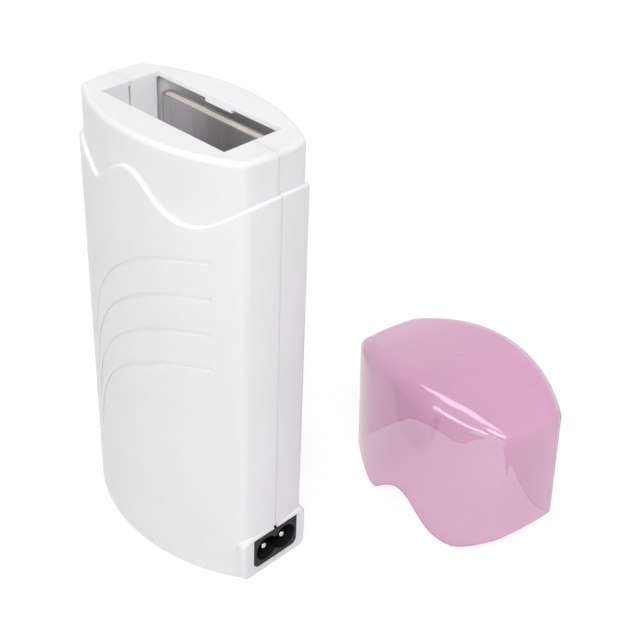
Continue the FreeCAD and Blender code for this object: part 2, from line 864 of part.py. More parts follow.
def fuse_clip():
    """Strap over the fuse with one foot riveted to the tongue."""
    low = clip_z - clip_width / 2
    high = clip_z + clip_width / 2
    inner = fuse_radius + clip_fit
    outer = inner + clip_thickness

    def arch(radius):
        round_part = rod(radius, (fuse_x, lead_y, low), (fuse_x, lead_y, high))
        return round_part.fuse(box(fuse_x - radius, fuse_x + radius, lead_y, tongue_front, low, high))

    foot_end = fuse_x - inner - clip_foot
    foot = box(foot_end, fuse_x - inner, tongue_front - clip_thickness, tongue_front, low, high)
    strap = arch(outer).fuse(foot).cut(arch(inner))
    strap = strap.common(box(-half_length, half_length, 0, tongue_front, low, high))
    hole = rod(rivet_radius + rivet_fit, (clip_rivet_x, 0, clip_z), (clip_rivet_x, tongue_front, clip_z))
    return solid_of(strap.cut(hole))


def crimp_places():
    """Each crimp tube's place and lower end: above the fuse, below it and on the return tab."""
    return [(fuse_x, upper_crimp), (fuse_x, lower_crimp), (return_tab_x, upper_crimp)]


def butt_crimps():
    """Crimp tubes that join the fuse's leads, the tabs and the wires."""
    placed = []
    for x, z in crimp_places():
        low = (x, lead_y, z)
        high = (x, lead_y, z + crimp_length)
        tube = rod(crimp_radius + barrel_wall, low, high)
        placed.append(solid_of(tube.cut(rod(crimp_radius, low, high))))
    return Part.makeCompound(placed)


def wire(points):
    """Insulated wire along straight runs, each corner an arc as large as its runs allow."""
    path = [V(*p) for p in points]
    edges = []
    start = path[0]
    for before, corner, after in zip(path, path[1:], path[2:]):
        inward = (before - corner).normalize()
        outward = (after - corner).normalize()
        trim = wire_bend_share * min((before - corner).Length, (after - corner).Length)
        half_open = inward.getAngle(outward) / 2
        radius = trim * math.tan(half_open)
        middle = (inward + outward).normalize() * (radius / math.sin(half_open) - radius)
        first = corner + inward * trim
        last = corner + outward * trim
        edges.append(Part.LineSegment(start, first).toShape())
        edges.append(Part.Arc(first, corner + middle, last).toShape())
        start = last
    edges.append(Part.LineSegment(start, path[-1]).toShape())
    ring = Part.Wire(Part.makeCircle(wire_radius, path[0], path[1] - path[0]))
    return solid_of(Part.Wire(edges).makePipeShell([ring], True, False))


def wire_plane():
    """How far forward the wires run down, clear of the front wall."""
    return wall + wire_wall_gap - half_thickness


def live_wire():
    """From the inlet's front pin, round the left of the base and up to the thermostat."""
    x = blade_places()[0]
    y = switch_front - blade_length - wire_insert
    return wire([
        (blade_end - wire_insert, -pin_pitch / 2, inlet_z),
        (x, -pin_pitch / 2, inlet_z),
        (x, wire_plane(), inlet_z + wire_rise),
        (x, wire_plane(), thermostat_z),
        (x, y, thermostat_z),
    ])


def link_wire():
    """From the thermostat down and across to the fuse's lower lead."""
    x = blade_places()[1]
    y = switch_front - blade_length - wire_insert
    return wire([
        (x, y, thermostat_z),
        (x, wire_plane(), thermostat_z),
        (x, wire_plane(), inlet_z + wire_rise),
        (x, lead_y, inlet_z + wire_rise),
        (fuse_x, lead_y, lower_crimp - link_tail),
        (fuse_x, lead_y, lower_crimp + (crimp_length - butt_gap) / 2),
    ])


def neutral_wire():
    """From the return tab down to the inlet's back pin."""
    turn_x = fuse_x - neutral_aside
    pin_y = pin_pitch / 2
    return wire([
        (blade_end - wire_insert, pin_y, inlet_z),
        (turn_x, pin_y, inlet_z),
        (turn_x, pin_y, inlet_z + neutral_rise),
        (return_tab_x, pin_y, inlet_z + neutral_rise),
        (return_tab_x, lead_y, upper_crimp - neutral_tail),
        (return_tab_x, lead_y, upper_crimp + (crimp_length - butt_gap) / 2),
    ])


def crown_edges(drop):
    """The cap's arched top as a closed XZ outline down to below the ledge, lowered by drop."""
    radius = (half_length ** 2 + crown_drop ** 2) / (2 * crown_drop)
    top = trough_z + cap_height
    centre = top - radius
    reach = half_length + margin
    side = centre + math.sqrt((radius - drop) ** 2 - reach ** 2)
    low = trough_z - margin
    arch = Part.Arc(V(reach, 0, side), V(0, 0, top - drop), V(-reach, 0, side)).toShape()
    corners = [V(-reach, 0, side), V(-reach, 0, low), V(reach, 0, low), V(reach, 0, side)]
    return [arch] + [Part.LineSegment(a, b).toShape() for a, b in zip(corners, corners[1:])]


def cap_seated():
    """The cap where it sits on the collar: arched top, wavy lower edge."""
    low = trough_z - margin
    high = trough_z + cap_height + margin
    eaves = trough_z + cap_height - crown_drop
    outer = lens_prism(0, low, high).common(across(crown_edges(0)))
    outer = outer.makeFillet(cap_round, edges_between(outer, eaves - edge_search, high))
    inner = lens_prism(cap_wall, low - margin, high).common(across(crown_edges(cap_wall)))
    inner_eaves = eaves - cap_wall - edge_search
    inner = inner.makeFillet(cap_inner_round, edges_between(inner, inner_eaves, high))
    lower = across(closed_above(ledge_edges(cap_seat_gap, cap_notch_round), high))
    shell = outer.cut(inner).common(lower)
    crown = trough_z + cap_height
    return solid_of(shell.cut(rod(gate_radius, (0, 0, crown - gate_depth), (0, 0, crown + margin))))


def cap():
    """The cap set down on the table, leaning until the lobes of its lower edge both touch."""
    shape = cap_seated()
    # The rounded notch passes its corner at half the mean height of the curve's two ends
    rise = (along((0, 0), notch_slope_right, 1, cap_notch_round)[1]
            + along((0, 0), notch_slope_left, -1, cap_notch_round)[1]) / 4
    lean = math.degrees(math.atan2(trough_drop - notch_drop + rise, trough_x - notch_x))
    shape.translate(V(0, 0, -trough_z))
    shape.rotate(V(), V(0, 1, 0), -lean)
    shape.rotate(V(), V(0, 0, 1), cap_turn)
    lowest = shape.optimalBoundingBox(False).ZMin
    shape.translate(V(cap_place_x, cap_place_y, -lowest))
    return shape


def main():
    os.makedirs("parts", exist_ok=True)
    front_shell, back_shell = housing()
    pieces = {
        "front_shell": front_shell,
        "back_shell": back_shell,
        "cap": cap(),
        "inlet_housing": inlet_housing(),
        "inlet_pins": inlet_pins(),
        "heater_sleeve": heater_sleeve(),
        "insulation_wrap": insulation_wrap(),
        "element_card": element_card(),
        "element_foil": element_foil(),
        "element_tabs": element_tabs(),
        "sleeve_screws": sleeve_screws(),
        "thermostat_cup": thermostat_cup(),
        "thermostat_body": thermostat_body(),
        "thermostat_blades": thermostat_blades(),
        "thermal_fuse": thermal_fuse(),
        "fuse_clip": fuse_clip(),
        "rivets": rivets(),
        "spade_terminals": spade_terminals(),
        "butt_crimps": butt_crimps(),
        "live_wire": live_wire(),
        "link_wire": link_wire(),
        "neutral_wire": neutral_wire(),
        "shell_screws": shell_screws(),
    }
    for name, shape in pieces.items():
        shape.exportStep("parts/%s.step" % name)
        print("%s: %d solid(s), valid %s" % (name, len(shape.Solids), shape.isValid()))


main()
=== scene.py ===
"""Looks of a hand-held heater for roll-on wax cartridges, with its see-through cap set down beside it.

Metres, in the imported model's own frame: the origin is the middle of the housing's base, +Z is up, the mains
inlet is at the +X end and the grooved front faces -Y. Sizes named in the classes are in millimetres, apart
from those of the table and the lamps, which are in metres.
"""
import logging
import math
from dataclasses import dataclass, field
from enum import Enum

import bmesh
import bpy
from mathutils import Matrix, Vector


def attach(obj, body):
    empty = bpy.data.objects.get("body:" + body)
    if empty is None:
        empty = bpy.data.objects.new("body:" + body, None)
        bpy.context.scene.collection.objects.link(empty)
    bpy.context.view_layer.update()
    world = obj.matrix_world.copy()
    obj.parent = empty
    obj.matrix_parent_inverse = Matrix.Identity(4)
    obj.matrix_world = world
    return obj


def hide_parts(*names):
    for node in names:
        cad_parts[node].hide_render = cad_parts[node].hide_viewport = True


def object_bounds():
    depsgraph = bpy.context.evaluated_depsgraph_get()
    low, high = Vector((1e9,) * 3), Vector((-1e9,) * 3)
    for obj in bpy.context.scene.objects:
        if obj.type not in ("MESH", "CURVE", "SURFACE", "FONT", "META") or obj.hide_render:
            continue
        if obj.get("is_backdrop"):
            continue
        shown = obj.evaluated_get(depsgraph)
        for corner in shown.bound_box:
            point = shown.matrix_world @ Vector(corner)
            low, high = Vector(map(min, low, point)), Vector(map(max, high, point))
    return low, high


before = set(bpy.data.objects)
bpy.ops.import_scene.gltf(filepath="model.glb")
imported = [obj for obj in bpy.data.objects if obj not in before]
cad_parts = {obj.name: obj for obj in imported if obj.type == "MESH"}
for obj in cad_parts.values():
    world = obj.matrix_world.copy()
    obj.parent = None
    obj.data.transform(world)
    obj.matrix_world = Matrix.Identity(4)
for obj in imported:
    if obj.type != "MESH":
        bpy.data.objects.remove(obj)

MM = 0.001
HEATER = "heater"
CAP = "cap"
# Marks where the painted edge glow goes: light led through a see-through wall, shown as a deeper pink.
EDGE_GLOW_MARK = "edge_glow"

# Sizes that several sub-assemblies share, in millimetres.
HALF_LENGTH = 40.7
TONGUE_FRONT = 14.8

# How the patterns of every finish are used.
MOTTLE_DETAIL = 3.0
GRAIN_DETAIL = 2.0
FIBRE_DETAIL = 4.0
FIBRE_DETAIL_SCALE = 0.6
FIBRE_WANDER = 22.0
GRAIN_IN_COLOUR = 0.35
COLOUR_START = 0.35
GRAIN_LOW = 0.2
GRAIN_HIGH = 0.8
SOFT_DEPTH_MM = 2.0
STREAK = 0.04

# The tiny circle that a turned shape is swept round, what its poles are welded by, and the angle in
# radians below which an edge is smoothed.
AXIS_RADIUS = 1e-7
AXIS_WELD = 2e-6
BLUNT_ANGLE = 0.6

log = logging.getLogger("heater")

Colour = tuple[float, float, float]
Point = tuple[float, float, float]
Shares = tuple[tuple[float, float], ...]
Ring = list[tuple[Vector, Vector]]
Shape = bmesh.types.BMesh
Vert = bmesh.types.BMVert
Tree = bpy.types.NodeTree
Socket = bpy.types.NodeSocket
Value = float | tuple[float, ...] | Socket | list[Socket]
Values = dict[str | int, Value]

WHITE = (1.0, 1.0, 1.0, 1.0)


def fill(tree: Tree, node: bpy.types.Node, values: Values) -> None:
    """Sets a node's inputs.

    Args:
        tree: The node's tree.
        node: The node.
        values: What goes into each input: a plain value, or a socket or a list of sockets to link.
    """
    for key, value in values.items():
        if isinstance(value, Socket):
            value = [value]
        if isinstance(value, list):
            for socket in value:
                tree.links.new(socket, node.inputs[key])
        else:
            node.inputs[key].default_value = value


def put(tree: Tree, kind: str, values: Values | None = None, **settings: str) -> bpy.types.Node:
    """Adds a node to a tree.

    Args:
        tree: The tree.
        kind: The node's type.
        values: What goes into its inputs, as for fill.
        settings: Properties set on the node itself.

    Returns:
        The new node.
    """
    node = tree.nodes.new(kind)
    for name, setting in settings.items():
        setattr(node, name, setting)
    fill(tree, node, values or {})
    return node


def new(tree: Tree, kind: str, values: Values | None = None, **settings: str) -> Socket:
    """The first output of a node that is added as put adds it."""
    return put(tree, kind, values, **settings).outputs[0]


def add(name: str, data: bpy.types.ID) -> bpy.types.Object:
    """Puts an object in the scene.

    Args:
        name: The object's name.
        data: Its mesh, lamp or camera.

    Returns:
        The new object.
    """
    thing = bpy.data.objects.new(name, data)
    bpy.context.scene.collection.objects.link(thing)
    return thing


class Grain(Enum):
    """The pattern that a finish carries on its surface."""

    MOULDED = "fine spark-eroded grain of a moulding tool"
    BRUSHED = "streaks left by rolling and drawing"
    FIBRE = "felted fibres"
    FLAKE = "flat flakes"


class Stretch(Enum):
    """The direction that a brushed finish runs in, as a scale of its pattern along X, Y and Z."""

    NONE = (1.0, 1.0, 1.0)
    ALONG_X = (STREAK, 1.0, 1.0)
    ALONG_Y = (1.0, STREAK, 1.0)
    ALONG_Z = (1.0, 1.0, STREAK)


class Ray(Enum):
    """The Light Path outputs that see the plain white background."""

    CAMERA = "Is Camera Ray"
    GLOSSY = "Is Glossy Ray"
    TRANSMISSION = "Is Transmission Ray"


class Shine(Enum):
    """What a lamp's light does."""

    FULL = "lights surfaces and shows in gloss"
    GLOSS = "only shows in gloss"
    MATT = "lights surfaces and doesn't show in gloss"


@dataclass(frozen=True)
class Finish:
    """A surface finish and the numbers that its node material is made from.

    Colours are linear. Pattern sizes are in millimetres.
    """

    slot: str
    light: Colour
    dark: Colour
    grain: Grain = Grain.MOULDED
    stretch: Stretch = Stretch.NONE
    mottle_mm: float = 18.0
    grain_mm: float = 0.35
    smooth: float = 0.25
    rough: float = 0.34
    bump_mm: float = 0.01
    metallic: float = 0.0
    ior: float = 1.5
    specular: float = 0.5
    transmission: float = 0.0
    coat: float = 0.0
    coat_roughness: float = 0.05
    subsurface: float = 0.0
    # The colour of a painted edge glow, on edges that the piece marks.
    edge: Colour | None = None

    def build(self) -> bpy.types.Material:
        """Makes the node material.

        Returns:
            The finished material, named after its slot.
        """
        material = bpy.data.materials.new(self.slot)
        material.use_nodes = True
        tree = material.node_tree
        where = put(tree, "ShaderNodeTexCoord").outputs["Object"]
        place = new(tree, "ShaderNodeMapping", {"Vector": where, "Scale": self.stretch.value})
        grain = self._grain(tree, place)
        rough = new(tree, "ShaderNodeMapRange", {
            "Value": grain, "From Min": GRAIN_LOW, "From Max": GRAIN_HIGH, "To Min": self.smooth,
            "To Max": self.rough})
        bump = new(tree, "ShaderNodeBump", {"Height": grain, "Distance": self.bump_mm * MM})
        fill(tree, tree.nodes["Principled BSDF"], {
            "Base Color": self._colour(tree, place, grain), "Roughness": rough, "Normal": bump,
            "Metallic": self.metallic, "IOR": self.ior,
            "Specular IOR Level": self.specular, "Transmission Weight": self.transmission,
            "Coat Weight": self.coat, "Coat Roughness": self.coat_roughness,
            "Subsurface Weight": self.subsurface, "Subsurface Scale": SOFT_DEPTH_MM * MM,
            "Subsurface Radius": (1.0, 1.0, 1.0)})
        return material

    @staticmethod
    def _noise(tree: Tree, place: Socket, size_mm: float, detail: float) -> Socket:
        """A noise pattern.

        Args:
            tree: The material's node tree.
            place: The vector to read.
            size_mm: The pattern's size.
            detail: How many finer layers it has.

        Returns:
            The pattern's value, about 0 to 1.
        """
        return new(tree, "ShaderNodeTexNoise", {
            "Vector": place, "Scale": 1.0 / (size_mm * MM), "Detail": detail})

    def _grain(self, tree: Tree, place: Socket) -> Socket:
        """The fine pattern that the finish's grain calls for.

        Args:
            tree: The material's node tree.
            place: The vector to read.

        Returns:
            The pattern's value, about 0 to 1.
        """
        scale = 1.0 / (self.grain_mm * MM)
        if self.grain is Grain.FLAKE:
            return new(tree, "ShaderNodeTexVoronoi", {"Vector": place, "Scale": scale})
        if self.grain is Grain.FIBRE:
            fibres = put(tree, "ShaderNodeTexWave", {
                "Vector": place, "Scale": scale, "Distortion": FIBRE_WANDER, "Detail": FIBRE_DETAIL,
                "Detail Scale": FIBRE_DETAIL_SCALE})
            return fibres.outputs["Fac"]
        return self._noise(tree, place, self.grain_mm, GRAIN_DETAIL)

    def _colour(self, tree: Tree, place: Socket, grain: Socket) -> Socket:
        """The colour, between light and dark by a broad pattern and a little by the fine one.

        Where the piece marks its edges, they take the edge colour, a painted glow of light led through the
        wall.

        Args:
            tree: The material's node tree.
            place: The vector that the broad pattern reads.
            grain: The fine pattern.

        Returns:
            The colour.
        """
        mottle = self._noise(tree, place, self.mottle_mm, MOTTLE_DETAIL)
        both = new(tree, "ShaderNodeMath", {0: grain, 1: GRAIN_IN_COLOUR, 2: mottle},
                   operation="MULTIPLY_ADD")
        ramp = put(tree, "ShaderNodeValToRGB", {"Fac": both})
        first, last = ramp.color_ramp.elements
        first.position = COLOUR_START
        first.color = (*self.light, 1.0)
        last.color = (*self.dark, 1.0)
        if not self.edge:
            return ramp.outputs["Color"]
        mark = put(tree, "ShaderNodeAttribute", attribute_name=EDGE_GLOW_MARK)
        return new(tree, "ShaderNodeMixRGB", {
            "Fac": mark.outputs["Fac"], "Color1": ramp.outputs["Color"], "Color2": (*self.edge, 1.0)})


WHITE_PLASTIC = Finish(
    "white_plastic", (0.83, 0.83, 0.836), (0.79, 0.79, 0.797),
    mottle_mm=30.0, grain_mm=0.5, smooth=0.32, rough=0.42, bump_mm=0.003, specular=0.32, subsurface=0.4)
# The cap's edge colour is a painted glow: the deeper pink of light led through the wall to its lower edge.
PINK_PLASTIC = Finish(
    "pink_plastic", (0.925, 0.65, 0.82), (0.905, 0.62, 0.80),
    mottle_mm=24.0, grain_mm=1.2, smooth=0.02, rough=0.05, bump_mm=0.001, ior=1.49, transmission=0.76,
    edge=(0.95, 0.36, 0.64))
BLACK_PLASTIC = Finish(
    "black_plastic", (0.010, 0.010, 0.011), (0.006, 0.006, 0.007),
    grain_mm=0.3, smooth=0.42, rough=0.58, bump_mm=0.012, specular=0.25)
NICKEL = Finish(
    "nickel", (0.68, 0.63, 0.57), (0.55, 0.50, 0.44), Grain.BRUSHED, Stretch.ALONG_X,
    mottle_mm=3.0, grain_mm=0.12, smooth=0.16, rough=0.3, bump_mm=0.002, metallic=1.0)
SLEEVE_ALUMINIUM = Finish(
    "sleeve_aluminium", (0.68, 0.65, 0.67), (0.42, 0.39, 0.40), Grain.BRUSHED, Stretch.ALONG_Z,
    mottle_mm=14.0, grain_mm=0.4, smooth=0.34, rough=0.5, bump_mm=0.006, metallic=1.0)
FIBRE_PAPER = Finish(
    "fibre_paper", (0.97, 0.90, 0.84), (0.84, 0.76, 0.69), Grain.FIBRE,
    mottle_mm=5.0, grain_mm=0.9, smooth=0.85, rough=0.97, bump_mm=0.08)
MICA = Finish(
    "mica", (0.52, 0.43, 0.30), (0.30, 0.23, 0.15), Grain.FLAKE,
    mottle_mm=9.0, grain_mm=1.6, smooth=0.3, rough=0.55, bump_mm=0.03, coat=0.3)
HEATING_FOIL = Finish(
    "heating_foil", (0.46, 0.42, 0.38), (0.27, 0.23, 0.20), Grain.BRUSHED, Stretch.ALONG_X,
    mottle_mm=6.0, grain_mm=0.2, smooth=0.24, rough=0.42, bump_mm=0.003, metallic=1.0)
TINNED_BRASS = Finish(
    "tinned_brass", (0.64, 0.62, 0.57), (0.47, 0.44, 0.38), Grain.BRUSHED, Stretch.ALONG_Z,
    mottle_mm=4.0, grain_mm=0.2, smooth=0.22, rough=0.4, bump_mm=0.003, metallic=1.0)
ZINC_STEEL = Finish(
    "zinc_steel", (0.58, 0.59, 0.61), (0.38, 0.39, 0.42), Grain.FLAKE,
    mottle_mm=2.0, grain_mm=0.5, smooth=0.26, rough=0.44, bump_mm=0.006, metallic=1.0)
CUP_ALUMINIUM = Finish(
    "cup_aluminium", (0.66, 0.66, 0.67), (0.46, 0.46, 0.48), Grain.BRUSHED, Stretch.ALONG_Y,
    mottle_mm=5.0, grain_mm=0.25, smooth=0.25, rough=0.4, bump_mm=0.004, metallic=1.0)
PHENOLIC = Finish(
    "phenolic", (0.030, 0.022, 0.018), (0.012, 0.009, 0.008), Grain.FLAKE,
    mottle_mm=4.0, grain_mm=0.5, smooth=0.35, rough=0.55, bump_mm=0.01)
FUSE_METAL = Finish(
    "fuse_metal", (0.70, 0.66, 0.56), (0.52, 0.47, 0.38), Grain.BRUSHED, Stretch.ALONG_Z,
    mottle_mm=3.0, grain_mm=0.2, smooth=0.2, rough=0.36, bump_mm=0.003, metallic=1.0)
RIVET_ALUMINIUM = Finish(
    "rivet_aluminium", (0.68, 0.68, 0.69), (0.5, 0.5, 0.52), Grain.FLAKE,
    mottle_mm=1.5, grain_mm=0.4, smooth=0.25, rough=0.42, bump_mm=0.006, metallic=1.0)

SILICONE = {"mottle_mm": 6.0, "grain_mm": 0.4, "smooth": 0.42, "rough": 0.6, "bump_mm": 0.012}
BROWN_SILICONE = Finish("brown_silicone", (0.16, 0.062, 0.030), (0.10, 0.038, 0.020), **SILICONE)
WHITE_SILICONE = Finish("white_silicone", (0.76, 0.75, 0.72), (0.64, 0.62, 0.58), **SILICONE)
BLUE_SILICONE = Finish("blue_silicone", (0.030, 0.10, 0.40), (0.018, 0.06, 0.26), **SILICONE)


class FinishRack:
    """Makes each finish's material once and hands it out."""

    def __init__(self) -> None:
        """Starts with no material made."""
        self._made: dict[str, bpy.types.Material] = {}

    def material(self, finish: Finish) -> bpy.types.Material:
        """The material of a finish.

        Args:
            finish: The finish to look up.

        Returns:
            Its material, made on first use.
        """
        if finish.slot not in self._made:
            self._made[finish.slot] = finish.build()
        return self._made[finish.slot]

    def dress_nodes(self, finishes: dict[str, Finish]) -> None:
        """Gives carried-over solids their finishes.

        Args:
            finishes: The name of each node, and the finish it takes.
        """
        for name, finish in finishes.items():
            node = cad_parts[name]
            material = self.material(finish)
            if not node.material_slots:
                node.data.materials.append(material)
            for place in node.material_slots:
                place.material = material
            log.info("%s keeps its solid and takes %s", name, finish.slot)

    def dress_piece(self, piece: bpy.types.Object, body: str, node: str, finish: Finish) -> None:
        """Gives a piece its finish and puts it on its body in place of a solid.

        Args:
            piece: The piece.
            body: The body it moves with.
            node: The solid that it stands for.
            finish: The finish it wears.
        """
        # A tree's primitives bring an empty slot that all their faces point at.
        piece.data.materials.clear()
        piece.data.materials.append(self.material(finish))
        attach(piece, body)
        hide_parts(node)
        log.info("%s stands for %s with %d faces", piece.name, node, len(piece.data.polygons))


class ShapeTree:
    """A Geometry Nodes tree with named sizes, and the shapes that it is put together from."""

    def __init__(self, name: str, sizes: dict[str, float]) -> None:
        """Starts a tree that takes points and sizes.

        Args:
            name: The tree's name.
            sizes: The name of each size input, and its value in millimetres.
        """
        self.group = bpy.data.node_groups.new(name, "GeometryNodeTree")
        self.sizes = sizes
        for label, kind in ({"Geometry": "Geometry"} | dict.fromkeys(sizes, "Float")).items():
            self.group.interface.new_socket(label, in_out="INPUT", socket_type="NodeSocket" + kind)
        self.group.interface.new_socket("Geometry", in_out="OUTPUT", socket_type="NodeSocketGeometry")
        self.start = put(self.group, "NodeGroupInput")

    def given(self, name: str) -> Socket:
        """What goes into the tree under a name: its points, as Geometry, or one of its sizes."""
        return self.start.outputs[name]

    def new(self, kind: str, values: Values | None = None, **settings: str) -> Socket:
        """The first output of a node that is added to this tree as put adds it."""
        return new(self.group, kind, values, **settings)

    def sum_of(self, value: Value, times: float, plus: Value = 0.0) -> Socket:
        """A value times a number, plus another value.

        Args:
            value: The first value.
            times: What it is multiplied by.
            plus: What is added.

        Returns:
            The result's socket.
        """
        return self.new("ShaderNodeMath", {0: value, 1: times, 2: plus}, operation="MULTIPLY_ADD")

    def point(self, x: Value, y: Value, z: Value = 0.0) -> Socket:
        """A vector of three values."""
        return self.new("ShaderNodeCombineXYZ", {"X": x, "Y": y, "Z": z})

    def joined(self, parts: list[Socket]) -> Socket:
        """Several geometries as one."""
        return self.new("GeometryNodeJoinGeometry", {"Geometry": parts})

    def turned_on_axis(self, profile: list[tuple[Value, Value]], steps: int) -> Socket:
        """A closed solid of revolution round Z.

        The sweep lays the profile upside down, so its heights go in with the sign turned and its lines
        run backwards, which keeps the faces outward.

        Args:
            profile: Radius and height of each corner, from the lower pole to the upper.
            steps: How many flats go round.

        Returns:
            The solid's mesh.
        """
        corners = [self.point(radius, self.sum_of(height, -1.0)) for radius, height in profile]
        lines = [self.new("GeometryNodeCurvePrimitiveLine", {"Start": high, "End": low})
                 for low, high in zip(corners, corners[1:])]
        path = self.new("GeometryNodeCurvePrimitiveCircle", {"Resolution": steps, "Radius": AXIS_RADIUS})
        skin = self.new("GeometryNodeCurveToMesh", {"Curve": path, "Profile Curve": self.joined(lines)})
        return self.new("GeometryNodeMergeByDistance", {"Geometry": skin, "Distance": AXIS_WELD})

    def head(self, shares: Shares, steps: int) -> Socket:
        """A turned head on its flat underside, of the tree's head radius and head height.

        Args:
            shares: Its corners, as shares of the two.
            steps: How many flats go round.

        Returns:
            The head's mesh.
        """
        radius, height = self.given("Head radius"), self.given("Head height")
        dome = [(self.sum_of(radius, across), self.sum_of(height, up)) for across, up in shares]
        return self.turned_on_axis([(0.0, 0.0)] + dome, steps)

    def bar(self, path: Socket, steps: int, radius: Socket) -> Socket:
        """A bar along a path, closed at its ends.

        Args:
            path: The curve it follows.
            steps: How many flats go round.
            radius: Its radius.

        Returns:
            The bar's mesh.
        """
        across = self.new("GeometryNodeCurvePrimitiveCircle", {"Resolution": steps, "Radius": radius})
        return self.new("GeometryNodeCurveToMesh", {
            "Curve": path, "Profile Curve": across, "Fill Caps": True})

    def raised(self, shape: Socket, height: Socket) -> Socket:
        """A shape moved along Z."""
        return self.new("GeometryNodeTransform", {
            "Geometry": shape, "Translation": self.point(0.0, 0.0, height)})

    def set_at(self, points: Socket, shape: Socket, turn: float, pick: Value = True) -> Socket:
        """A shape repeated at points.

        Args:
            points: Where it goes.
            shape: What is repeated.
            turn: How far each copy is turned about X, in radians.
            pick: Which of the points take a copy.

        Returns:
            The copies, as instances.
        """
        return self.new("GeometryNodeInstanceOnPoints", {
            "Points": points, "Selection": pick, "Instance": shape, "Rotation": (turn, 0.0, 0.0)})

    def close(self, shape: Socket) -> None:
        """Ends the tree: real mesh, smooth where edges are blunt.

        Args:
            shape: What the tree has made.
        """
        mesh = self.new("GeometryNodeRealizeInstances", {"Geometry": shape})
        angle = self.new("GeometryNodeInputMeshEdgeAngle")
        blunt = self.new("FunctionNodeCompare", {0: angle, 1: BLUNT_ANGLE}, operation="LESS_THAN")
        for domain, which in (("EDGE", blunt), ("FACE", True)):
            mesh = self.new("GeometryNodeSetShadeSmooth", {"Geometry": mesh, "Shade Smooth": which},
                            domain=domain)
        put(self.group, "NodeGroupOutput", {"Geometry": mesh})

    def grow(self, name: str, seats: list[Point], runs: list[tuple[int, int]]) -> bpy.types.Object:
        """Runs the tree and keeps its result as a plain mesh.

        Args:
            name: The piece's name.
            seats: The points that the tree works on, in millimetres.
            runs: Pairs of points that are joined by an edge.

        Returns:
            The finished piece.
        """
        base = bpy.data.meshes.new(name + "_seats")
        base.from_pydata([tuple(c * MM for c in seat) for seat in seats], runs, [])
        carrier = add(name + "_carrier", base)
        modifier = carrier.modifiers.new("shape", "NODES")
        modifier.node_group = self.group
        for item in self.group.interface.items_tree:
            if item.name in self.sizes:
                modifier[item.identifier] = self.sizes[item.name] * MM
        bpy.context.view_layer.update()
        graph = bpy.context.evaluated_depsgraph_get()
        mesh = bpy.data.meshes.new_from_object(carrier.evaluated_get(graph))
        bpy.data.objects.remove(carrier)
        mesh.name = name
        return add(name, mesh)


@dataclass
class LedgeWave:
    """The wavy line that the cap's lower edge and the housing's ledge share, as drops below the rim."""

    half_length: float = HALF_LENGTH
    right_drop: float = 12.7
    right_slope: float = 0.68
    right_reach: float = 5.0
    trough_x: float = 22.9
    trough_drop: float = 23.0
    trough_reach_right: float = 5.5
    trough_reach_left: float = 13.0
    hump_x: float = -1.0
    hump_drop: float = 10.8
    hump_reach_right: float = 9.1
    hump_reach_left: float = 5.0
    notch_x: float = -18.2
    notch_drop: float = 22.1
    notch_slope_right: float = 0.83
    notch_slope_left: float = 0.26
    notch_reach_right: float = 5.0
    notch_reach_left: float = 6.0
    notch_round: float = 4.6
    left_drop: float = 16.4
    left_reach: float = 7.7
    halvings: int = 40

    @staticmethod
    def _along(point: tuple[float, float], slope: float, sign: int, distance: float) -> tuple[float, float]:
        """A point moved by a distance up a slope.

        Args:
            point: The starting point.
            slope: How steep the way is.
            sign: The side that the slope rises towards.
            distance: How far to go.

        Returns:
            The new point.
        """
        run = math.hypot(1.0, slope)
        return (point[0] + sign * distance / run, point[1] + distance * slope / run)

    def pieces(self) -> list[list[tuple[float, float]]]:
        """The line's curves from left to right.

        Returns:
            The poles of each curve, as X and height above the trough.
        """
        zero = self.trough_drop
        left = (-self.half_length, zero - self.left_drop)
        notch = (self.notch_x, zero - self.notch_drop)
        hump = (self.hump_x, zero - self.hump_drop)
        trough = (self.trough_x, 0.0)
        right = (self.half_length, zero - self.right_drop)
        notch_left = self._along(notch, self.notch_slope_left, -1, self.notch_round)
        notch_right = self._along(notch, self.notch_slope_right, 1, self.notch_round)
        return [
            [left, (left[0] + self.left_reach, left[1]),
             self._along(notch, self.notch_slope_left, -1, self.notch_reach_left), notch_left],
            [notch_left, notch, notch_right],
            [notch_right, self._along(notch, self.notch_slope_right, 1, self.notch_reach_right),
             (hump[0] - self.hump_reach_left, hump[1]), hump],
            [hump, (hump[0] + self.hump_reach_right, hump[1]),
             (trough[0] - self.trough_reach_left, trough[1]), trough],
            [trough, (trough[0] + self.trough_reach_right, trough[1]),
             (right[0] - self.right_reach, right[1] - self.right_reach * self.right_slope), right],
        ]

    @staticmethod
    def _on_curve(poles: list[tuple[float, float]], share: float) -> tuple[float, float]:
        """A point on a curve.

        Args:
            poles: The curve's poles.
            share: How far along it the point is, from 0 to 1.

        Returns:
            The point.
        """
        while len(poles) > 1:
            poles = [(a[0] + (b[0] - a[0]) * share, a[1] + (b[1] - a[1]) * share)
                     for a, b in zip(poles, poles[1:])]
        return poles[0]

    def height(self, x: float) -> float:
        """The line's height above its trough.

        Args:
            x: The place along the housing.

        Returns:
            The height there.
        """
        pieces = self.pieces()
        poles = next((p for p in pieces if x <= p[-1][0]), pieces[-1])
        low, high = 0.0, 1.0
        for _ in range(self.halvings):
            middle = (low + high) / 2
            if self._on_curve(poles, middle)[0] < x:
                low = middle
            else:
                high = middle
        return self._on_curve(poles, (low + high) / 2)[1]

    def lean(self) -> float:
        """The angle, in radians, at which both lobes of the cap's edge touch the table.

        The notch's tip is a curve of three poles, so its middle stands at a quarter of its ends' heights.
        """
        rise = (self._along((0, 0), self.notch_slope_right, 1, self.notch_round)[1]
                + self._along((0, 0), self.notch_slope_left, -1, self.notch_round)[1]) / 4
        return math.atan2(self.trough_drop - self.notch_drop + rise, self.trough_x - self.notch_x)


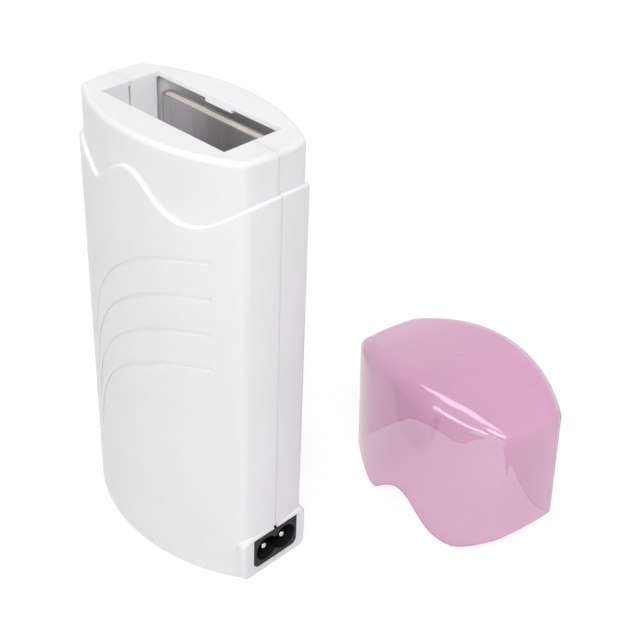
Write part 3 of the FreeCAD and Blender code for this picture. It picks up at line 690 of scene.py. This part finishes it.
@dataclass
class LensPlan:
    """The plan that the housing and the cap share: two bowed sides and two slightly bowed ends."""

    half_length: float = HALF_LENGTH
    half_thickness: float = 25.3
    half_end: float = 13.4
    end_bow: float = 1.5
    corner: float = 4.5
    end_steps: int = 10
    corner_steps: int = 8
    side_steps: int = 80

    def quarter(self) -> Ring:
        """A quarter of the outline, from the middle of the +X end to the middle of the +Y side.

        Returns:
            Each point with its outward direction.
        """
        corner_x = self.half_length - self.end_bow
        rise = self.half_thickness - self.half_end
        side = (corner_x ** 2 + rise ** 2) / (2 * rise)
        side_y = self.half_thickness - side
        end = (self.half_end ** 2 + self.end_bow ** 2) / (2 * self.end_bow)
        end_x = self.half_length - end
        to_side, to_end, gap = side - self.corner, end - self.corner, math.hypot(end_x, side_y)
        run = (gap ** 2 + to_side ** 2 - to_end ** 2) / (2 * gap)
        aside = math.sqrt(to_side ** 2 - run ** 2)
        cx = (run * end_x - aside * side_y) / gap
        cy = side_y - (run * side_y + aside * end_x) / gap
        side_turn = math.atan2(cy - side_y, cx)
        end_turn = math.atan2(cy, cx - end_x)
        arcs = [(end_x, 0.0, end, 0.0, end_turn, self.end_steps),
                (cx, cy, self.corner, end_turn, side_turn, self.corner_steps),
                (0.0, side_y, side, side_turn, math.pi / 2, self.side_steps)]
        points = []
        for x, y, radius, first, last, steps in arcs:
            for step in range(steps):
                angle = first + (last - first) * step / steps
                away = Vector((math.cos(angle), math.sin(angle), 0.0))
                points.append((Vector((x, y, 0.0)) + radius * away, away))
        points.append((Vector((0.0, self.half_thickness, 0.0)), Vector((0.0, 1.0, 0.0))))
        return points

    def ring(self) -> Ring:
        """The whole outline, from the -X end along the front to the +X end and back along the rear.

        Returns:
            Each point with its outward direction.
        """
        quarter = self.quarter()

        def turned(x_sign: int, y_sign: int) -> Ring:
            """The quarter, mirrored by the two signs."""
            flip = Vector((x_sign, y_sign, 1.0))
            return [(point * flip, away * flip) for point, away in quarter]

        front = turned(-1, -1)[:-1] + turned(1, -1)[::-1]
        rear = turned(1, 1)[1:-1] + turned(-1, 1)[::-1][:-1]
        return front + rear


@dataclass
class SubAssembly:
    """A group of pieces that are finished together, and the rack that their finishes come from."""

    rack: FinishRack


@dataclass
class Cap(SubAssembly):
    """The see-through cap: lens plan, arched crown with a rounded edge, wavy lower edge."""

    plan: LensPlan = field(default_factory=LensPlan)
    wave: LedgeWave = field(default_factory=LedgeWave)
    wall: float = 1.25
    height: float = 61.0
    crown_drop: float = 8.0
    outer_round: float = 4.2
    inner_round: float = 2.9
    front_round: float = 2.6
    front_clear: float = 6.75
    front_blend: float = 10.0
    edge_round: float = 0.4
    edge_fade: float = 0.5
    seat_gap: float = 0.3
    place_x: float = 58.0
    place_y: float = 75.7
    turn: float = -8.5
    wall_steps: int = 14
    round_steps: int = 14
    crown_steps: int = 80
    edge_steps: int = 4
    gate_radius: float = 1.3
    gate_flat: float = 0.6
    gate_depth: float = 0.3
    weld: float = 1e-4

    def build(self) -> None:
        """Makes the cap and puts it in place of its solid."""
        ring = self.plan.ring()
        shape = bmesh.new()
        shape.verts.layers.float.new(EDGE_GLOW_MARK)
        outer = self._skin(shape, ring, 0.0, self.outer_round)
        inner = self._skin(shape, ring, self.wall, self.inner_round)
        self._band(shape, outer, inner)
        bmesh.ops.remove_doubles(shape, verts=shape.verts, dist=self.weld)
        bmesh.ops.recalc_face_normals(shape, faces=shape.faces)
        shape.transform(self._placing(shape))
        mesh = bpy.data.meshes.new("cap_shell")
        shape.to_mesh(mesh)
        shape.free()
        mesh.shade_smooth()
        self.rack.dress_piece(add("cap_shell", mesh), CAP, "cap", PINK_PLASTIC)

    def _skin(self, shape: Shape, ring: Ring, inset: float, rounding: float) -> list[Vert]:
        """One face of the wall, from the lower edge over the rounded corner to the crown.

        Args:
            shape: The mesh being built.
            ring: The plan's outline.
            inset: How far inside the outline the face lies.
            rounding: The radius between wall and crown.

        Returns:
            The vertices along the lower edge.
        """
        arch = (self.plan.half_length ** 2 + self.crown_drop ** 2) / (2 * self.crown_drop)
        top = self.height - arch
        rounds = [rounding + self._fuller(point) for point, _ in ring]
        inward = self.edge_round if inset == 0.0 else -self.edge_round
        rows: list[list[Vector]] = []
        for step in range(self.edge_steps + 1):
            angle = step / self.edge_steps * math.pi / 2
            rows.append([])
            for point, away in ring:
                at = point - away * (inset + inward * (1 - math.sin(angle)))
                at.z = self.wave.height(at.x) + self.seat_gap + self.edge_round * (1 - math.cos(angle))
                rows[-1].append(at)
        feet = rows[-1]
        rows.append([foot + Vector((0.0, 0.0, self.edge_fade)) for foot in feet])
        centres = []
        for (point, away), radius in zip(ring, rounds):
            centre = point - away * (inset + radius)
            centre.z = top + math.sqrt((arch - inset - radius) ** 2 - centre.x ** 2)
            centres.append(centre)
        for step in range(1, self.wall_steps + 1):
            share = step / self.wall_steps
            rows.append([Vector((foot.x, foot.y, foot.z + (centre.z - foot.z) * share))
                         for foot, centre in zip(feet, centres)])
        for step in range(1, self.round_steps + 1):
            rows.append([])
            for centre, (_, away), radius in zip(centres, ring, rounds):
                up = Vector((centre.x, 0.0, centre.z - top)).normalized()
                rows[-1].append(centre + radius * away.slerp(up, step / self.round_steps))
        made = [[shape.verts.new(at) for at in row] for row in rows]
        # The rounded lower edge carries the painted edge glow.
        mark = shape.verts.layers.float[EDGE_GLOW_MARK]
        for row in made[:self.edge_steps + 1]:
            for vert in row:
                vert[mark] = 1.0
        for low, high in zip(made, made[1:]):
            self._band(shape, low, high)
        self._crown(shape, made[-1], self.gate_depth if inset == 0.0 else 0.0)
        return made[0]

    def _fuller(self, point: Vector) -> float:
        """How much fuller the crown's edge is rounded along the front, away from the corners.

        Args:
            point: The point of the outline.

        Returns:
            What is added to the radius.
        """
        if point.y > 0.0:
            return 0.0
        share = (self.plan.half_length - self.front_clear - abs(point.x)) / self.front_blend
        share = min(max(share, 0.0), 1.0)
        return self.front_round * share * share * (3 - 2 * share)

    def _crown(self, shape: Shape, edge: list[Vert], dimple: float) -> None:
        """Fills the crown with strips from front to back.

        Args:
            shape: The mesh being built.
            edge: The vertices along the crown's edge.
            dimple: How deep the mould's gate mark is in the middle.
        """
        half = len(edge) // 2
        columns = []
        for index in range(half + 1):
            front, rear = edge[index], edge[-index]
            between = [shape.verts.new(front.co.lerp(rear.co, step / self.crown_steps))
                       for step in range(1, self.crown_steps)]
            for vert in between:
                away = math.hypot(vert.co.x, vert.co.y) - self.gate_flat
                share = min(max(away / (self.gate_radius - self.gate_flat), 0.0), 1.0)
                vert.co.z -= dimple * (1 + math.cos(math.pi * share)) / 2
            columns.append([front] + between + [rear])
        for left, right in zip(columns, columns[1:]):
            for row in range(self.crown_steps):
                corners = [left[row], right[row], right[row + 1], left[row + 1]]
                if len(set(corners)) == 4:
                    shape.faces.new(corners)

    @staticmethod
    def _band(shape: Shape, low: list[Vert], high: list[Vert]) -> None:
        """Joins two rings of vertices by faces.

        Args:
            shape: The mesh being built.
            low: The first ring.
            high: The second ring.
        """
        count = len(low)
        for index in range(count):
            after = (index + 1) % count
            shape.faces.new([low[index], low[after], high[after], high[index]])

    def _placing(self, shape: Shape) -> Matrix:
        """How the cap stands on the table: leaning on the lobes of its edge and turned.

        Args:
            shape: The cap as it sits on the collar.

        Returns:
            The matrix that also turns millimetres into metres.
        """
        stand = Matrix.Rotation(math.radians(self.turn), 4, "Z") @ Matrix.Rotation(-self.wave.lean(), 4, "Y")
        lowest = min((stand @ vert.co).z for vert in shape.verts)
        place = Matrix.Translation((self.place_x, self.place_y, -lowest))
        return Matrix.Scale(MM, 4) @ place @ stand


# Profiles of turned heads, as shares of their radius and height.
PAN_DOME = ((1.0, 0.0), (1.0, 0.5), (0.96, 0.68), (0.86, 0.83), (0.68, 0.93), (0.4, 0.985), (0.0, 1.0))
RIVET_DOME = ((1.0, 0.0), (1.0, 0.2), (0.93, 0.5), (0.75, 0.78), (0.45, 0.94), (0.0, 1.0))
RIVET_TAIL = ((0.9, 0.0), (1.0, 0.4), (0.9, 0.85), (0.7, 1.0), (0.4, 0.75), (0.0, 0.7))


@dataclass
class PanScrew:
    """A pan-head screw with a cross recess and a rolled thread, standing on its seat along +Z."""

    shank_length: float
    head_radius: float = 2.8
    head_height: float = 2.0
    shank_radius: float = 1.45
    recess_width: float = 0.8
    recess_length: float = 3.2
    recess_depth: float = 1.1
    recess_step: float = 1.05
    thread_pitch: float = 1.3
    thread_depth: float = 0.3
    thread_share: float = 0.88
    thread_start: float = 0.92
    tip_share: float = 0.55
    tip_start: float = 0.93
    tip_end: float = 0.995
    head_flats: int = 40
    shank_flats: int = 24
    turn_steps: int = 16
    ridge_corners: int = 4

    def set_in(self, rack: FinishRack, name: str, node: str, seats: list[Point], turn: float) -> None:
        """Sets a screw at each seat, in place of a solid.

        Args:
            rack: The finishes.
            name: The piece's name.
            node: The solid that the screws stand for.
            seats: The points under the heads, in millimetres.
            turn: How far the screws are turned about X, in radians.
        """
        tree = ShapeTree(name + "_tree", {
            "Head radius": self.head_radius, "Head height": self.head_height,
            "Shank radius": self.shank_radius, "Shank length": self.shank_length,
            "Recess width": self.recess_width, "Recess length": self.recess_length,
            "Recess depth": self.recess_depth, "Thread pitch": self.thread_pitch,
            "Thread depth": self.thread_depth})
        screw = tree.joined([self._head(tree), self._shank(tree), self._thread(tree)])
        tree.close(tree.set_at(tree.given("Geometry"), screw, turn))
        rack.dress_piece(tree.grow(name, seats, []), HEATER, node, ZINC_STEEL)

    def _head(self, tree: ShapeTree) -> Socket:
        """The domed head with its cross recess.

        The cutters stand half above the head's top, so they are twice as deep as the recess. The second
        one goes a little deeper, because floors at one height would be left double.

        Args:
            tree: The tree it is added to.

        Returns:
            The head's mesh.
        """
        long, wide = tree.given("Recess length"), tree.given("Recess width")
        deep = tree.sum_of(tree.given("Recess depth"), 2.0)
        deeper = tree.sum_of(deep, self.recess_step)
        cutters = []
        for size in (tree.point(long, wide, deep), tree.point(wide, long, deeper)):
            cube = tree.new("GeometryNodeMeshCube", {"Size": size})
            cutters.append(tree.raised(cube, tree.given("Head height")))
        head = tree.head(PAN_DOME, self.head_flats)
        return tree.new("GeometryNodeMeshBoolean", {"Mesh 1": head, "Mesh 2": cutters},
                        operation="DIFFERENCE")

    def _shank(self, tree: ShapeTree) -> Socket:
        """The shank's core, down to a blunt tip.

        Args:
            tree: The tree it is added to.

        Returns:
            The shank's mesh.
        """
        length = tree.given("Shank length")
        core = tree.sum_of(tree.given("Thread depth"), -1.0, tree.given("Shank radius"))
        tip = tree.sum_of(core, self.tip_share)
        profile = [(0.0, tree.sum_of(length, -1.0)), (tip, tree.sum_of(length, -self.tip_end)),
                   (core, tree.sum_of(length, -self.tip_start)), (core, 0.0), (0.0, 0.0)]
        return tree.turned_on_axis(profile, self.shank_flats)

    def _thread(self, tree: ShapeTree) -> Socket:
        """The thread, a ridge wound round the shank.

        Args:
            tree: The tree it is added to.

        Returns:
            The thread's mesh.
        """
        length, depth = tree.given("Shank length"), tree.given("Thread depth")
        rise = tree.sum_of(length, self.thread_share)
        turns = tree.new("ShaderNodeMath", {0: rise, 1: tree.given("Thread pitch")}, operation="DIVIDE")
        middle = tree.sum_of(depth, -0.5, tree.given("Shank radius"))
        helix = tree.new("GeometryNodeCurveSpiral", {
            "Resolution": self.turn_steps, "Rotations": turns, "Start Radius": middle,
            "End Radius": middle, "Height": rise})
        ridge = tree.bar(helix, self.ridge_corners, tree.sum_of(depth, 0.5))
        return tree.raised(ridge, tree.sum_of(length, -self.thread_start))


@dataclass
class Housing(SubAssembly):
    """The two moulded shells and the screws that close them."""

    screw_length: float = 16.0
    post_x: float = 34.2
    low_z: float = 32.0
    high_z: float = 122.0
    well_floor: float = 8.0

    def build(self) -> None:
        """Dresses the shells and makes their screws."""
        self.rack.dress_nodes(dict.fromkeys(("front_shell", "back_shell"), WHITE_PLASTIC))
        seats = [(x, self.well_floor, z)
                 for x in (-self.post_x, self.post_x) for z in (self.low_z, self.high_z)]
        PanScrew(self.screw_length).set_in(self.rack, "closing_screws", "shell_screws", seats, -math.pi / 2)


class Inlet(SubAssembly):
    """The figure-8 mains inlet and its two pins."""

    def build(self) -> None:
        """Dresses the inlet."""
        self.rack.dress_nodes({"inlet_housing": BLACK_PLASTIC, "inlet_pins": NICKEL})


@dataclass
class Heater(SubAssembly):
    """The flattened sleeve with its wrap, card, foil and tabs, and the screws in its tongue."""

    screw_length: float = 7.75
    screw_heights: tuple[float, float] = (52.0, 35.0)

    def build(self) -> None:
        """Dresses the heater and makes the tongue's screws."""
        self.rack.dress_nodes({
            "heater_sleeve": SLEEVE_ALUMINIUM, "insulation_wrap": FIBRE_PAPER, "element_card": MICA,
            "element_foil": HEATING_FOIL, "element_tabs": TINNED_BRASS})
        seats = [(0.0, TONGUE_FRONT, z) for z in self.screw_heights]
        PanScrew(self.screw_length).set_in(self.rack, "tongue_screws", "sleeve_screws", seats, math.pi / 2)


@dataclass
class Controls(SubAssembly):
    """The thermostat and the thermal fuse on the tongue, with the rivets that hold them."""

    tongue_back: float = 15.6
    thermostat_x: float = -12.0
    thermostat_z: float = 41.0
    ear_pitch: float = 23.0
    ear_thickness: float = 0.8
    clip_x: float = 6.7
    clip_z: float = 36.5
    clip_thickness: float = 0.5
    rivet_radius: float = 1.2
    rivet_head_radius: float = 2.1
    rivet_head_height: float = 0.9
    head_flats: int = 32
    shank_flats: int = 24

    def build(self) -> None:
        """Dresses the controls and makes the rivets."""
        self.rack.dress_nodes({
            "thermostat_cup": CUP_ALUMINIUM, "thermostat_body": PHENOLIC, "thermostat_blades": TINNED_BRASS,
            "thermal_fuse": FUSE_METAL, "fuse_clip": ZINC_STEEL})
        self.rack.dress_piece(self._rivets(), HEATER, "rivets", RIVET_ALUMINIUM)

    def _rivets(self) -> bpy.types.Object:
        """Rivets with a domed head in front and a set tail behind the tongue.

        Returns:
            The rivets as one piece.
        """
        half = self.ear_pitch / 2
        places = [(self.thermostat_x, self.thermostat_z - half, self.ear_thickness),
                  (self.thermostat_x, self.thermostat_z + half, self.ear_thickness),
                  (self.clip_x, self.clip_z, self.clip_thickness)]
        seats: list[Point] = []
        for x, z, thickness in places:
            seats += [(x, TONGUE_FRONT - thickness, z), (x, self.tongue_back, z)]
        tree = ShapeTree("rivet_tree", {
            "Shank radius": self.rivet_radius, "Head radius": self.rivet_head_radius,
            "Head height": self.rivet_head_height})
        head = tree.head(RIVET_DOME, self.head_flats)
        tail = tree.head(RIVET_TAIL, self.head_flats)
        runs = tree.new("GeometryNodeMeshToCurve", {"Mesh": tree.given("Geometry")})
        shank = tree.bar(runs, self.shank_flats, tree.given("Shank radius"))
        ends = []
        for shape, turn, at_start in ((head, math.pi / 2, 1), (tail, -math.pi / 2, 0)):
            pick = tree.new("GeometryNodeCurveEndpointSelection", {
                "Start Size": at_start, "End Size": 1 - at_start})
            ends.append(tree.set_at(runs, shape, turn, pick))
        tree.close(tree.joined([shank] + ends))
        pairs = [(first, first + 1) for first in range(0, len(seats), 2)]
        return tree.grow("tongue_rivets", seats, pairs)


class Wiring(SubAssembly):
    """The three wires, their push-on terminals and the crimped tubes that join them."""

    def build(self) -> None:
        """Dresses the wiring."""
        self.rack.dress_nodes({
            "live_wire": BROWN_SILICONE, "link_wire": WHITE_SILICONE, "neutral_wire": BLUE_SILICONE,
            "spade_terminals": TINNED_BRASS, "butt_crimps": TINNED_BRASS})


@dataclass(frozen=True)
class Softbox:
    """A rectangular lamp: where it hangs, the point that it faces, its size, all in metres, and its watts."""

    name: str
    at: Point
    aim: Point
    size: tuple[float, float]
    power: float
    shine: Shine

    def hang(self) -> None:
        """Puts the lamp in the scene."""
        data = bpy.data.lights.new(self.name, "AREA")
        data.shape = "RECTANGLE"
        data.size, data.size_y = self.size
        data.energy = self.power
        lamp = add(self.name, data)
        lamp.location = self.at
        lamp.rotation_euler = (Vector(self.aim) - Vector(self.at)).to_track_quat("-Z", "Y").to_euler()
        lamp.visible_diffuse = self.shine is not Shine.GLOSS
        lamp.visible_glossy = self.shine is not Shine.MATT


CAP_PLACE = (0.06, 0.08, 0.05)
SOFTBOXES = (
    Softbox("key softbox", at=(0.61, -0.65, 1.05), aim=(0.03, 0.03, 0.06), size=(0.7, 0.5), power=8.9,
            shine=Shine.FULL),
    Softbox("upper streak", at=(-0.11, -0.03, 1.23), aim=CAP_PLACE, size=(0.6, 1.1), power=11.5,
            shine=Shine.GLOSS),
    Softbox("lower streak", at=(-0.04, -1.10, 0.24), aim=CAP_PLACE, size=(0.8, 0.36), power=5.7,
            shine=Shine.GLOSS),
    Softbox("chamber fill", at=(0.0, -0.0105, 0.140), aim=(0.0, 0.02, 0.145), size=(0.05, 0.026),
            power=0.0070, shine=Shine.MATT),
)


@dataclass
class Studio:
    """The white table, the soft lamps and the camera at the photograph's angle."""

    lens: float = 75.77
    azimuth: float = 43.06
    elevation: float = 33.67
    roll: float = 2.35
    aside: float = -45.10
    raised: float = -68.91
    distance: float = 498.43
    film_width: float = 36.0
    floor_reach: float = 3.0
    floor_drop: float = 0.0003
    floor_light: float = 0.68
    floor_shade: float = 0.24
    floor_glow: float = 0.80
    world_light: float = 0.69
    white_through: float = 0.40

    def build(self) -> None:
        """Sets up the whole studio."""
        bpy.context.scene.view_settings.view_transform = "Standard"
        self._camera()
        self._floor()
        self._world()
        for softbox in SOFTBOXES:
            softbox.hang()

    def _camera(self) -> None:
        """Stands the camera where the photograph was taken from."""
        az, el, roll = (math.radians(a) for a in (self.azimuth, self.elevation, self.roll))
        back = Vector((math.sin(az) * math.cos(el), -math.cos(az) * math.cos(el), math.sin(el)))
        level = (-back).cross(Vector((0.0, 0.0, 1.0))).normalized()
        upright = level.cross(-back)
        right = math.cos(roll) * level + math.sin(roll) * upright
        up = math.cos(roll) * upright - math.sin(roll) * level
        at = (back * self.distance - right * self.aside - up * self.raised) * MM
        data = bpy.data.cameras.new("camera")
        data.lens = self.lens
        data.sensor_width = self.film_width
        camera = add("camera", data)
        camera.matrix_world = Matrix.Translation(at) @ Matrix((right, up, back)).transposed().to_4x4()
        bpy.context.scene.camera = camera

    @staticmethod
    def _seen(tree: Tree, shares: dict[Ray, float]) -> Socket:
        """How far each kind of ray sees the plain white background instead of the lit one.

        Args:
            tree: The tree it is added to.
            shares: The share of white that each kind of ray sees, from 0 to 1. A ray of two kinds takes
                the later one.

        Returns:
            The factor's socket.
        """
        path = put(tree, "ShaderNodeLightPath")
        found: Value = 0.0
        for ray, share in shares.items():
            found = new(tree, "ShaderNodeMix", {"Factor": path.outputs[ray.value], "A": found, "B": share})
        return found

    def _floor(self) -> None:
        """Lays the pale table, which keeps a soft shadow."""
        mesh = bpy.data.meshes.new("table")
        reach = self.floor_reach
        corners = [(-reach, -reach), (reach, -reach), (reach, reach), (-reach, reach)]
        mesh.from_pydata([(x, y, -self.floor_drop) for x, y in corners], [], [(0, 1, 2, 3)])
        material = bpy.data.materials.new("table_white")
        material.use_nodes = True
        tree = material.node_tree
        tree.nodes.remove(tree.nodes["Principled BSDF"])
        plain, shaded = (new(tree, "ShaderNodeBsdfDiffuse", {"Color": (grey, grey, grey, 1.0)})
                         for grey in (self.floor_light, self.floor_shade))
        glow = new(tree, "ShaderNodeEmission", {"Strength": self.floor_glow})
        both = new(tree, "ShaderNodeAddShader", {0: shaded, 1: glow})
        shares = dict.fromkeys(Ray, 1.0) | {Ray.TRANSMISSION: self.white_through}
        mix = new(tree, "ShaderNodeMixShader", {"Fac": self._seen(tree, shares), 1: plain, 2: both})
        fill(tree, tree.nodes["Material Output"], {"Surface": mix})
        mesh.materials.append(material)
        table = add("table", mesh)
        table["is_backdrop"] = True

    def _world(self) -> None:
        """Surrounds the scene with even white light."""
        world = bpy.data.worlds.new("white_tent")
        world.use_nodes = True
        tree = world.node_tree
        light = tree.nodes["Background"]
        fill(tree, light, {"Color": WHITE, "Strength": self.world_light})
        seen = new(tree, "ShaderNodeBackground", {"Color": WHITE})
        mix = new(tree, "ShaderNodeMixShader", {
            "Fac": self._seen(tree, dict.fromkeys(Ray, 1.0)), 1: light.outputs["Background"], 2: seen})
        fill(tree, tree.nodes["World Output"], {"Surface": mix})
        bpy.context.scene.world = world


def write_sizes(solids: tuple, dressed: tuple) -> None:
    """Gathers the boxes of the solids and of the dressed part side by side; the table is not written
    anywhere.

    Args:
        solids: Lowest and highest corner of the solids.
        dressed: Lowest and highest corner of the dressed part.
    """
    boxes = {name: [[float(c) for c in corner] for corner in box]
             for name, box in (("cad", solids), ("visual", dressed))}


def main() -> None:
    """Builds the studio and every sub-assembly in order."""
    logging.basicConfig(level=logging.INFO, format="%(name)s: %(message)s")
    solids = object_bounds()
    Studio().build()
    rack = FinishRack()
    for kind in (Housing, Inlet, Heater, Controls, Wiring, Cap):
        kind(rack).build()
        log.info("%s is done", kind.__name__)
    write_sizes(solids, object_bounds())


if __name__ == "__main__":
    main()
